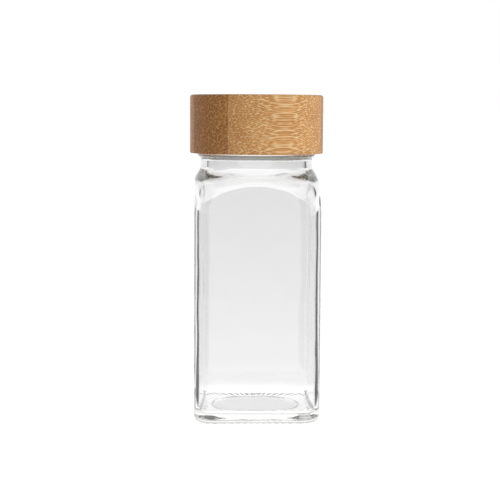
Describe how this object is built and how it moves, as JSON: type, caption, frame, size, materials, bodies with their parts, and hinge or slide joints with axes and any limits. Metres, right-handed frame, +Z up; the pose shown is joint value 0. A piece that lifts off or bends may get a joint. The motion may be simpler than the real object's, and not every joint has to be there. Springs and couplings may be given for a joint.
{
  "type": "spice jar",
  "caption": "Square clear glass spice jar with a round neck, plug-in sifter and screw-on lid of laminated bamboo.",
  "frame": {"origin": "centre of the base, on the surface the jar stands on", "axes": "+Z up along the neck and screw axis; the four flat glass sides face +X, -X, +Y and -Y, and -Y is the front"},
  "size_m": [0.0471, 0.047, 0.114],
  "materials": {
    "clear_glass": "gloss",
    "bamboo": "satin",
    "sleeve_plastic": "satin",
    "sifter_plastic": "satin",
    "liner_foam": "matte"
  },
  "bodies": {
    "jar": {"glass_jar": "clear_glass", "sifter_insert": "sifter_plastic"},
    "seal": {"seal_liner": "liner_foam"},
    "lid": {"threaded_sleeve": "sleeve_plastic", "bamboo_strip_1": "bamboo", "bamboo_strip_2": "bamboo", "bamboo_strip_3": "bamboo", "bamboo_strip_4": "bamboo", "bamboo_strip_5": "bamboo", "bamboo_strip_6": "bamboo"}
  },
  "joints": [
    {"name": "lid_rise", "type": "slide", "parent": "jar", "child": "seal", "axis": [0, 0, 1], "range_m": [0, 0.0169]},
    {"name": "lid_turn", "type": "hinge", "parent": "seal", "child": "lid", "pos_m": [0, 0, 0.1], "axis": [0, 0, 1], "range_deg": [0, 1440]}
  ],
  "couplings": [
    {"joint": "lid_rise", "follows": "lid_turn", "m_per_rad": 0.00066845}
  ]
}
